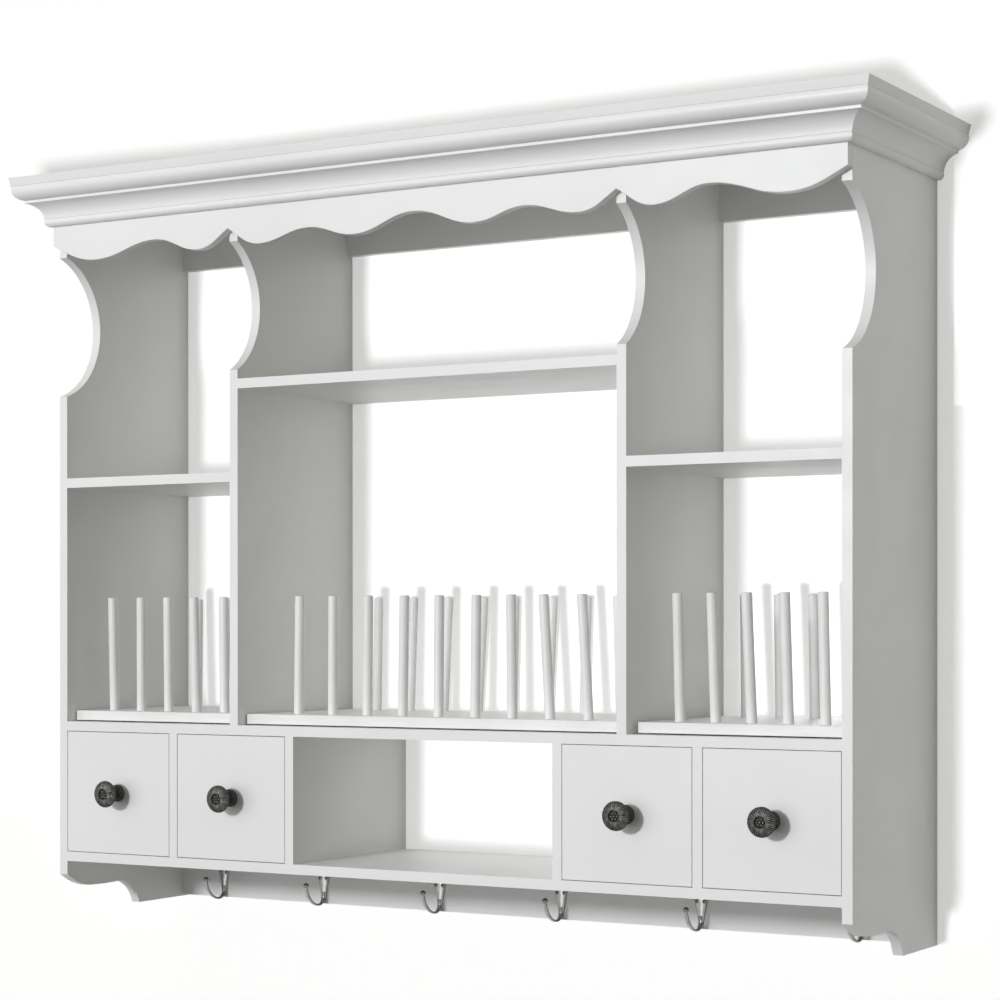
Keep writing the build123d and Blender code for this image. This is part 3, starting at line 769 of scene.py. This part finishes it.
@dataclass
class Knob:
    """Cast knob: flange, neck, ribbed mushroom head and a dish with a small rosette."""

    radius_mm: float = 16.6
    flange_mm: float = 10.75
    neck_mm: float = 5.5
    reach_mm: float = 29.5
    around: int = 288
    rim_mm: float = 24.1
    ribs: int = 38
    groove_mm: float = 0.95
    groove_inward: float = 0.6
    petals: int = 6
    petal_mm: float = 1.9
    # Middle of a petal from the axis, and half its length
    petal_place_mm: Flat = (3.7, 1.3)
    boss_mm: float = 1.05
    ring_mm: float = 1.3
    dish_mm: float = 6.9
    dish_depth_mm: float = 2.4
    sharp_degrees: float = 70.0

    def back(self) -> list[Station]:
        """Flange, neck and back of the head.

        Returns:
            Radius, reach, rib share and rubbed share of each ring, from the drawer outward.
        """
        r, f, n = self.radius_mm, self.flange_mm, self.neck_mm
        return [
            # Flange
            (f, 0.0, 0.0, 0.1), (f, 1.3, 0.0, 0.2), (f - 0.5, 1.9, 0.0, 0.3), (f - 1.7, 2.3, 0.0, 0.1),
            (f - 2.3, 3.0, 0.0, 0.3), (f - 3.0, 3.5, 0.0, 0.1),
            # Neck
            (n + 1.2, 5.2, 0.0, 0.05), (n + 0.2, 8.0, 0.0, 0.05), (n, 11.5, 0.0, 0.05), (n + 0.4, 14.0, 0.0, 0.1),
            # Back of the head
            (n + 2.0, 15.7, 0.0, 0.15), (n + 4.8, 17.4, 0.0, 0.2), (r - 3.8, 19.1, 0.0, 0.25),
            (r - 1.7, 20.9, 0.0, 0.3), (r - 0.5, 22.6, 0.0, 0.35), (r - 0.03, 23.7, 0.1, 0.36),
        ]

    def dome(self, steps: int = 14) -> list[Station]:
        """Ribbed front of the head, from the rim to the ring round the dish.

        Args:
            steps: Number of rings.

        Returns:
            Stations as in back.
        """
        start, end = self.radius_mm, self.dish_mm + self.ring_mm
        low, high = self.rim_mm, self.reach_mm - 0.5
        made = []
        for step in range(steps):
            share = step / (steps - 1)
            turn = math.pi / 2 * share
            radius = end + (start - end) * math.cos(turn) ** 0.9
            reach = low + (high - low) * math.sin(turn) ** 0.95
            made.append((radius, reach, 0.1 + 0.9 * math.sin(math.pi * share ** 1.8), 0.36 + 0.2 * share ** 2))
        return made

    def dish(self, steps: int = 22) -> list[Station]:
        """Ring and hollow in the middle of the head.

        Args:
            steps: Number of rings over the floor of the hollow.

        Returns:
            Stations as in back.
        """
        rim, top = self.dish_mm, self.reach_mm
        floor = top - self.dish_depth_mm
        edge = [
            (rim + 0.9, top - 0.2, 0.2, 0.54), (rim + 0.4, top, 0.0, 0.58), (rim, top - 0.15, 0.0, 0.4),
            (rim - 0.35, top - 0.9, 0.0, 0.2), (rim - 0.6, floor + 0.2, 0.0, 0.12),
        ]
        inner = rim - 0.8
        return edge + [(inner * (1 - step / steps), floor, 0.0, 0.12) for step in range(steps)]

    def rosette(self, radius: float, angle: float) -> float:
        """Height of the rosette over the floor of the dish.

        Args:
            radius: Distance from the middle in millimetres.
            angle: Angle round the knob.

        Returns:
            Share of the petal height, from 0 to 1.
        """
        boss = hump(radius, 0.0, self.boss_mm, 4)
        along = hump(radius, *self.petal_place_mm, 4)
        across = (0.5 + 0.5 * math.cos(angle * self.petals)) ** 1.5
        return max(boss, along * across)

    def mesh(self) -> bpy.types.Mesh:
        """Build the knob with its back on the plane of the drawer front.

        Returns:
            The mesh, centred on the knob's axis, pointing to -Y.
        """
        points: list[Point] = []
        rubbed: list[float] = []
        stations = self.back() + self.dome() + self.dish()
        for radius, reach, ribbed, wear in stations:
            for step in range(self.around):
                angle = math.tau * step / self.around
                groove = (0.5 - 0.5 * math.cos(angle * self.ribs)) ** 1.3 * ribbed
                out = radius - groove * self.groove_mm * self.groove_inward
                lift = reach - groove * self.groove_mm
                shine = wear + (0.3 - 0.8 * groove) * ribbed
                if radius < self.dish_mm - 0.7:
                    petal = self.rosette(radius, angle)
                    lift += petal * self.petal_mm
                    shine = max(wear, petal ** 1.2)
                points.append((out * math.cos(angle) * MM, -lift * MM, out * math.sin(angle) * MM))
                rubbed.append(min(1.0, max(0.0, shine)))
        mesh = mesh_from("cast_knob", points, tube_faces(len(stations), self.around), self.sharp_degrees)
        paint_wear_and_painted_light(mesh, Finish.PEWTER, rubbed)
        return mesh


def paint_wear_and_painted_light(mesh: bpy.types.Mesh, finish: Finish, shares: Sequence[float]) -> None:
    """Say each point's share of a metal piece's tones: how far it is rubbed bright on the knobs, its painted
    highlight and shade on the hooks.

    Args:
        mesh: Mesh of the piece.
        finish: Metal finish that reads the shares.
        shares: Share of each vertex, from 0 for the darkest tone to 1 for the brightest.
    """
    layer = mesh.attributes.new(finish.value[1].layer, "FLOAT", "POINT")
    layer.data.foreach_set("value", shares)


@dataclass
class Drawer:
    """Drawer box with its lacquered front and its knob."""

    number: int
    knob: bpy.types.Mesh
    fronts: EasedBoards = field(default_factory=lambda: EasedBoards(coat_mm=0.25))
    boards: EasedBoards = field(default_factory=lambda: EasedBoards(ease_mm=0.5))

    def build(self) -> int:
        """Dress the drawer.

        Returns:
            Number of nodes in the drawer.
        """
        body = f"drawer_{self.number}"
        nodes = nodes_of(body)
        for node in nodes:
            if node.endswith("_knob"):
                self.place_knob(node, body)
            elif node.endswith("_front"):
                self.fronts.dress(node, body, Finish.WHITE_LACQUER)
            else:
                self.boards.dress(node, body, Finish.DRAWER_BOX)
        return len(nodes)

    def place_knob(self, node: str, body: str) -> None:
        """Stand the cast knob in the plain one's place, on the drawer's front face.

        Args:
            node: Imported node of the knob.
            body: Body that it rides on.
        """
        low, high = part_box(node)
        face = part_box(f"{body}_front")[0].y
        piece = add_piece(f"{node}_cast", self.knob, Finish.PEWTER, body, [node])
        piece.location = Vector(((low.x + high.x) / 2, face, (low.z + high.z) / 2))


@dataclass
class CoatHook:
    """Pressed plate that tapers into an oval arm, bent forward and up to a ball."""

    node: str
    plate_height_mm: float = 39.0
    half_top_mm: float = 11.0
    half_foot_mm: float = 3.6
    plate_edge_mm: float = 0.9
    plate_crown_mm: float = 1.2
    plate_roll_mm: float = 0.5
    arm_mm: Flat = (2.8, 1.6)
    neck_mm: float = 2.1
    start_reach_mm: float = 1.2
    start_rise_mm: float = 16.0
    bottom_drop_mm: float = 44.3
    throat_mm: float = 10.8
    prong_mm: float = 29.0
    prong_turn: float = 86.0
    ball_mm: float = 3.5
    around: int = 32
    bend_steps: int = 14
    # Where the painted dark streak lies round the arm: its angle at the plate, its turn along the arm and its
    # width
    painted_streak_degrees: tuple[float, float, float] = (135.0, 55.0, 45.0)
    # The arm's painted light: painted shade where it leaves the plate and lighter tones along it; on the ball
    # painted shade that darkens towards its end
    arm_painted_light: Flat = (0.2, 0.55)
    ball_painted_light: Flat = (0.55, 0.5)
    # Middle and width as shares of the plate's half width
    roll_place: Flat = (0.86, 0.09)
    # Where the painted highlight runs down the plate
    highlight_place: Flat = (0.3, 0.34)
    sharp_degrees: float = 60.0

    def path(self) -> list[Flat]:
        """Middle line of the arm.

        Returns:
            Reach from the rail and height from the plate's top, from inside the plate to the ball.
        """
        line = [(self.start_reach_mm, self.start_rise_mm - self.bottom_drop_mm)]
        for radius, first, last in ((self.throat_mm, -90.0, 0.0), (self.prong_mm, 0.0, self.prong_turn)):
            ends = [self.bend(radius, first + (last - first) * share) for share in (0.0, 0.5, 1.0)]
            line += arc(*ends, self.bend_steps)[len(line) > 2:]
        return line

    def bend(self, radius: float, turn: float) -> Flat:
        """Point on a bend of the arm.

        Args:
            radius: Radius of the bend.
            turn: Degrees past the arm's lowest point.

        Returns:
            Reach from the rail and height from the plate's top.
        """
        angle = math.radians(turn)
        reach = self.start_reach_mm + self.throat_mm + radius * math.sin(angle)
        return reach, radius * (1 - math.cos(angle)) - self.bottom_drop_mm

    def arm(self) -> Shell:
        """Oval arm with its ball.

        Returns:
            Its points in millimetres from the middle of the plate's top, its faces and their painted highlight and
            shade.
        """
        line = self.path()
        points: list[Point] = []
        painted_light: list[float] = []
        for index, (reach, drop) in enumerate(line[:-1]):
            here, there = Vector(line[max(0, index - 1)]), Vector(line[index + 1])
            share = index / (len(line) - 2)
            # The last eighth narrows to the neck
            blend = max(0.0, 8 * share - 7)
            half = [size + (self.neck_mm - size) * blend for size in self.arm_mm]
            points += self.ring(Vector((reach, drop)), (there - here).normalized(), *half)
            painted_light += [self.painted_arm_light(step, share) for step in range(self.around)]
        tip = Vector(line[-1])
        way = (tip - Vector(line[-2])).normalized()
        start, end, steps = math.asin(self.neck_mm / self.ball_mm), math.pi - 0.1, self.bend_steps
        for step in range(steps):
            turn = start + (end - start) * step / (steps - 1)
            radius = self.ball_mm * math.sin(turn)
            points += self.ring(tip - way * self.ball_mm * math.cos(turn), way, radius, radius)
            # Painted shade, darker towards the ball's end
            painted_light += [self.ball_painted_light[0] - self.ball_painted_light[1] * step / steps] * self.around
        return points, tube_faces(len(points) // self.around, self.around), painted_light

    def painted_arm_light(self, step: int, share: float) -> float:
        """Painted light of one point round the arm: a painted dark streak that turns along the arm, and painted
        shade near the plate.

        Args:
            step: Number of the point in its ring.
            share: How far along the arm it lies, from 0 at the plate to 1 at the ball.

        Returns:
            Painted light from 0, darkest, to 1, brightest.
        """
        start, shift, width = self.painted_streak_degrees
        from_throat = abs((360.0 * step / self.around + 180.0) % 360.0 - 180.0)
        # A painted dark streak turns round the arm along its length, and painted shade lies where the arm leaves
        # the plate
        streak = hump(from_throat, start - shift * share, width)
        low, more = self.arm_painted_light
        return low + more * min(1.0, 4 * share) * (1 - streak)

    def ring(self, middle: Vector, way: Vector, half_width: float, half_thickness: float) -> list[Point]:
        """One ring of the arm.

        Args:
            middle: Reach and height of its middle.
            way: Direction of the arm in reach and height.
            half_width: Half the ring's size from side to side.
            half_thickness: Half its size across.

        Returns:
            Its points as side, reach and height.
        """
        made = []
        for step in range(self.around):
            angle = math.tau * step / self.around
            out = half_thickness * math.cos(angle)
            made.append((half_width * math.sin(angle), middle.x - way.y * out, middle.y + way.x * out))
        return made

    def plate(self, across: int = 33, down: int = 31) -> Shell:
        """Tapered plate with a crowned face, rolled edges and a rounded top.

        Args:
            across: Points across.
            down: Points down.

        Returns:
            Points, faces and painted light as in arm.
        """
        points: list[Point] = []
        painted_light: list[float] = []
        for layer in range(2):
            for row in range(down):
                v = row / (down - 1)
                shoulder = math.sqrt(min(1.0, 0.25 + v * 9))
                flare = (1 - v) ** 1.35
                half = (self.half_foot_mm + (self.half_top_mm - self.half_foot_mm) * flare) * shoulder ** 0.5
                for column in range(across):
                    u = 2 * column / (across - 1) - 1
                    crown = self.plate_crown_mm * (1 - abs(u) ** 3) * shoulder
                    roll = hump(abs(u), *self.roll_place)
                    reach = layer * (self.plate_edge_mm + crown + self.plate_roll_mm * roll)
                    points.append((u * half, reach, -v * self.plate_height_mm))
                    # A painted highlight in a band down the plate and painted shade on its rolled edges
                    middle = hump(u, *self.highlight_place)
                    painted_light.append(0.44 + (0.25 + 0.1 * v) * middle - 0.1 * roll)
        grid = across * down
        sheet = ring_faces(down, across, closed=False)
        faces = sheet + shifted(sheet, grid)
        border = list(range(across)) + [across * (r + 1) - 1 for r in range(1, down)]
        border += [grid - 1 - c for c in range(1, across)]
        border += [across * r for r in range(down - 2, 0, -1)]
        for here, there in zip(border, border[1:] + border[:1]):
            faces.append((here, there, there + grid, here + grid))
        return points, faces, painted_light

    def build(self) -> Object:
        """Build the hook in the plain one's place.

        Returns:
            The piece.
        """
        low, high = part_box(self.node)
        top = Vector(((low.x + high.x) / 2, high.y, high.z))
        points: list[Point] = []
        faces: Faces = []
        painted_light: list[float] = []
        for part_points, part_faces, part_painted_light in (self.plate(), self.arm()):
            faces += shifted(part_faces, len(points))
            points += [(top.x + x * MM, top.y - y * MM, top.z + z * MM) for x, y, z in part_points]
            painted_light += part_painted_light
        mesh = mesh_from(f"{self.node}_plated", points, faces, self.sharp_degrees)
        paint_wear_and_painted_light(mesh, Finish.NICKEL, painted_light)
        return add_piece(f"{self.node}_plated", mesh, Finish.NICKEL, "carcass", [self.node])


@dataclass
class HookScrews:
    """Round-headed cross-slotted screws, two in each hook."""

    node: str = "hook_screws"
    head_mm: float = 2.6
    rise_mm: float = 1.5
    slot_mm: float = 0.45
    slot_length_mm: float = 1.7
    slot_depth_mm: float = 0.8
    spacing_mm: float = 10.0
    seat_mm: float = 2.0
    edge_mm: float = 0.2
    eye_mm: float = 0.02
    dome_power: float = 2.4
    shine: float = 0.55
    sharp_degrees: float = 60.0
    around: int = 48
    rings: int = 16

    def build(self, hooks: Sequence[str]) -> Object:
        """Build all the screws as one piece.

        Args:
            hooks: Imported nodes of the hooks.

        Returns:
            The piece.
        """
        low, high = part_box(self.node)
        height = (low.z + high.z) / 2
        points: list[Point] = []
        faces: Faces = []
        shine: list[float] = []
        for hook in hooks:
            left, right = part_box(hook)
            for side in (-0.5, 0.5):
                middle = (left.x + right.x) / 2 + side * self.spacing_mm * MM
                faces += tube_faces(self.rings, self.around, len(points))
                for x, y, z, bright in self.head():
                    points.append((middle + x * MM, right.y + y * MM, height + z * MM))
                    shine.append(bright)
        mesh = mesh_from("cross_slotted_screws", points, faces, self.sharp_degrees)
        paint_wear_and_painted_light(mesh, Finish.SCREW, shine)
        return add_piece("cross_slotted_screws", mesh, Finish.SCREW, "carcass", [self.node])

    def head(self) -> list[tuple[float, float, float, float]]:
        """Domed head with its cross slot.

        Returns:
            Points in millimetres with their shine, ring by ring from the seat to the middle.
        """
        made = []
        for ring in range(self.rings):
            radius = self.head_mm * (1 - ring / (self.rings - 1)) + self.eye_mm
            fall = (radius / self.head_mm) ** self.dome_power
            dome = self.rise_mm * math.sqrt(max(0.0, 1 - fall)) if ring else 0.0
            for step in range(self.around):
                angle = math.tau * step / self.around
                x, z = radius * math.cos(angle), radius * math.sin(angle)
                cut = min(abs(x), abs(z)) < self.slot_mm and max(abs(x), abs(z)) < self.slot_length_mm
                lift = max(self.edge_mm * (ring > 0), dome - cut * self.slot_depth_mm)
                # The slot takes the darkest tone and the head a lighter one
                made.append((x, -(self.seat_mm + lift), z, 0.0 if cut else self.shine))
        return made


# Studio

@dataclass(frozen=True)
class WallBand:
    """Part of the studio wall whose own light rises and turns by so many degrees."""

    low_m: float
    high_m: float
    rise: float
    turn: float = 6.0
    left_m: float = -9.0
    right_m: float = 9.0


@dataclass
class Studio:
    """Plain white wall and floor with soft lights."""

    half_width_m: float = 9.0
    half_depth_m: float = 6.5
    floor_m: float = -1.75
    bands: tuple[WallBand, ...] = (
        WallBand(-1.75, 0.03, 3.0),
        WallBand(0.03, 0.14, 7.0),
        WallBand(0.14, 0.456, 9.6, right_m=0.56),
        WallBand(0.456, 3.2, 15.4, -34.8, right_m=-0.45),
        WallBand(0.456, 3.2, 15.4, left_m=-0.45, right_m=0.47),
        WallBand(0.456, 3.2, 15.4, -16.6, 0.47, 0.56),
        WallBand(0.14, 3.2, 3.5, 4.5, left_m=0.56),
    )
    wall_inset_m: float = 0.0006
    strip_lift_m: float = 0.0002
    strip_start_m: float = 0.028
    strip_sink_m: float = 0.003
    strip_height_m: float = 0.165
    sun_away_m: float = 3.0
    wall_softness: float = 4.5
    wall_strength: float = 1.71
    wall_glow: float = 0.42
    floor_paint: str = "#6c6c6c"
    floor_glow: float = 0.7
    fill_strength: float = 0.82
    fill_softness: float = 60.0
    ambient: float = 0.255
    ambient_tint: str = "#fafaf2"
    key_tint: str = "#f8f9ff"
    # Each power is a lamp's watts, and its width or radius in metres
    key_place: Point = (-1.2, -7.05, 1.1)
    key_power: Flat = (230.0, 0.6)
    fill_way: Point = (0.45, 1.0, -0.05)
    back_place: Point = (-0.5, 4.5, 1.2)
    back_power: Flat = (60.0, 2.0)
    rack_place: Point = (1.233, -2.6825, -0.25)
    rack_power: Flat = (264.0, 0.05)

    def plane(self, name: str, corners: Sequence[Point], look: StudioWhite) -> Object:
        """Add a plain stage plane.

        Args:
            name: Name of the plane.
            corners: Its four corners.
            look: Its paint.

        Returns:
            The plane.
        """
        mesh = bpy.data.meshes.new(name)
        mesh.from_pydata(list(corners), [], [(0, 1, 2, 3)])
        mesh.materials.append(bpy.data.materials.get(look.name) or look.material())
        made = bpy.data.objects.new(name, mesh)
        bpy.context.scene.collection.objects.link(made)
        return made

    def lamp(self, name: str, kind: str, settings: dict[str, float], place: Vector, way: Vector) -> Object:
        """Add a lamp.

        Args:
            name: Name of the lamp.
            kind: Blender's name of its type.
            settings: Its size and power.
            place: Where it stands.
            way: Direction in which it shines.

        Returns:
            The lamp.
        """
        data = bpy.data.lights.new(name, kind)
        for setting, value in settings.items():
            setattr(data, setting, value)
        made = bpy.data.objects.new(name, data)
        bpy.context.scene.collection.objects.link(made)
        made.location = place
        made.rotation_euler = way.to_track_quat("-Z", "Y").to_euler()
        return made

    def link(self, lamp: Object, planes: Sequence[Object], state: str, role: str = "receiver") -> None:
        """Tie a lamp to stage planes, or keep it off them.

        Args:
            lamp: The lamp.
            planes: The stage planes.
            state: INCLUDE for a lamp that lights them alone, EXCLUDE for one that leaves them out.
            role: "receiver" for what the lamp lights, "blocker" for what throws its shadows.
        """
        group = bpy.data.collections.new(f"{lamp.name}_{role}s")
        for plane in planes:
            group.objects.link(plane)
        for member in group.collection_objects:
            member.light_linking.link_state = state
        setattr(lamp.light_linking, f"{role}_collection", group)

    def rack_backs(self, paint: StudioWhite) -> list[Object]:
        """Wall strips behind the racks, whose lamp sets each peg's shadow just beside the peg.

        Args:
            paint: Paint of the wall.

        Returns:
            The strips.
        """
        strips = []
        y = -self.wall_inset_m - self.strip_lift_m
        for body in RACKS:
            low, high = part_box(f"{body}_base")
            left, right = low.x + self.strip_start_m, high.x
            foot, top = high.z - self.strip_sink_m, high.z + self.strip_height_m
            corners = [(left, y, foot), (right, y, foot), (right, y, top), (left, y, top)]
            strips.append(self.plane(f"studio_wall_{body}", corners, paint))
        place, (watts, radius) = Vector(self.rack_place), self.rack_power
        lamp = self.lamp("rack_lamp", "POINT", {"energy": watts, "shadow_soft_size": radius}, place, -place)
        self.link(lamp, strips, "INCLUDE")
        return strips

    def build(self) -> None:
        """Build the wall, the floor, the lamps and the surrounding light."""
        w, y = self.half_width_m, -self.wall_inset_m
        paint = StudioWhite("wall_emulsion", glow=self.wall_glow, one_sided=True)
        walls = []
        for number, band in enumerate(self.bands):
            left, right, low, high = band.left_m, band.right_m, band.low_m, band.high_m
            corners = [(left, y, low), (right, y, low), (right, y, high), (left, y, high)]
            walls.append(self.plane(f"studio_wall_{number}", corners, paint))
            turn, rise = math.radians(band.turn), math.radians(band.rise)
            way = Vector((math.tan(turn), 1.0, math.tan(rise)))
            # A slanting light is stronger, so that every band is as white as the next
            settings = {"energy": self.wall_strength * way.length, "angle": math.radians(self.wall_softness)}
            lamp = self.lamp(f"wall_lamp_{number}", "SUN", settings, -way * self.sun_away_m, way)
            self.link(lamp, walls[-1:], "INCLUDE")
        walls += self.rack_backs(paint)
        z, d = self.floor_m, self.half_depth_m
        corners = [(-w, -d, z), (w, -d, z), (w, d, z), (-w, d, z)]
        look = StudioWhite("floor_emulsion", paint=self.floor_paint, glow=self.floor_glow)
        floor = self.plane("studio_floor", corners, look)
        place, (watts, size) = Vector(self.key_place), self.key_power
        key = self.lamp("key_lamp", "AREA", {"energy": watts, "size": size}, place, -place)
        key.data.color = linear(self.key_tint)[:3]
        self.link(key, walls, "EXCLUDE")
        way = Vector(self.fill_way)
        settings = {"energy": self.fill_strength, "angle": math.radians(self.fill_softness)}
        fill = self.lamp("fill_lamp", "SUN", settings, -way * self.sun_away_m, way)
        self.link(fill, walls, "EXCLUDE")
        place, (watts, size) = Vector(self.back_place), self.back_power
        back = self.lamp("back_lamp", "AREA", {"energy": watts, "size": size}, place, -place)
        self.link(back, [floor], "EXCLUDE")
        # It reaches the drawers' backs through the wall, as they are dark from behind without it
        self.link(back, walls, "EXCLUDE", "blocker")
        self.surround()
        LOG.info("studio: %d wall planes", len(walls))

    def surround(self) -> None:
        """Even light from all round, which the camera and shiny things see as white."""
        world = bpy.data.worlds.new("studio_air")
        world.use_nodes = True
        tree = world.node_tree
        tree.nodes.clear()
        dim = add_node(tree, "Background", {"Color": linear(self.ambient_tint), "Strength": self.ambient})
        white = add_node(tree, "Background", {"Color": linear("#ffffff"), "Strength": 1.0})
        mixed = add_node(tree, "MixShader", links={0: seen_rays(tree), 1: dim, 2: white})
        add_node(tree, "OutputWorld", links={"Surface": mixed})
        bpy.context.scene.world = world


@dataclass
class PhotoCamera:
    """Camera at the photograph's viewing angle, with its upright lines kept upright."""

    place_m: Point = (1.5488, -2.6825, -0.1136)
    azimuth: float = 30.604
    down: float = 0.133
    roll: float = 0.025
    lens_mm: float = 89.39
    sensor_mm: float = 36.0
    rise: float = 0.13555

    def build(self) -> None:
        """Make the camera the scene's own."""
        data = bpy.data.cameras.new("photo_camera")
        data.lens = self.lens_mm
        data.sensor_width = self.sensor_mm
        data.shift_y = self.rise
        camera = bpy.data.objects.new("photo_camera", data)
        bpy.context.scene.collection.objects.link(camera)
        camera.location = self.place_m
        turns = (90 - self.down, self.roll, self.azimuth)
        camera.rotation_euler = [math.radians(turn) for turn in turns]
        bpy.context.scene.camera = camera


def main() -> None:
    """Build the cabinet, the studio and the camera."""
    logging.basicConfig(level=logging.INFO)
    bpy.context.scene.view_settings.view_transform = "Standard"
    PhotoCamera().build()
    Studio().build()
    LOG.info("carcass: %d boards", Carcass().build())
    LOG.info("cornice: %d lengths", Cornice().build())
    for body in RACKS:
        LOG.info("%s: %d nodes", body, PlateRack(body).build())
    knob = Knob().mesh()
    for number in range(1, 5):
        LOG.info("drawer %d: %d nodes", number, Drawer(number, knob).build())
    hooks = [f"hook_{number}" for number in range(1, 7)]
    for hook in hooks:
        LOG.info("hook: %s", CoatHook(hook).build().name)
    LOG.info("screws: %s", HookScrews().build(hooks).name)


if __name__ == "__main__":
    main()
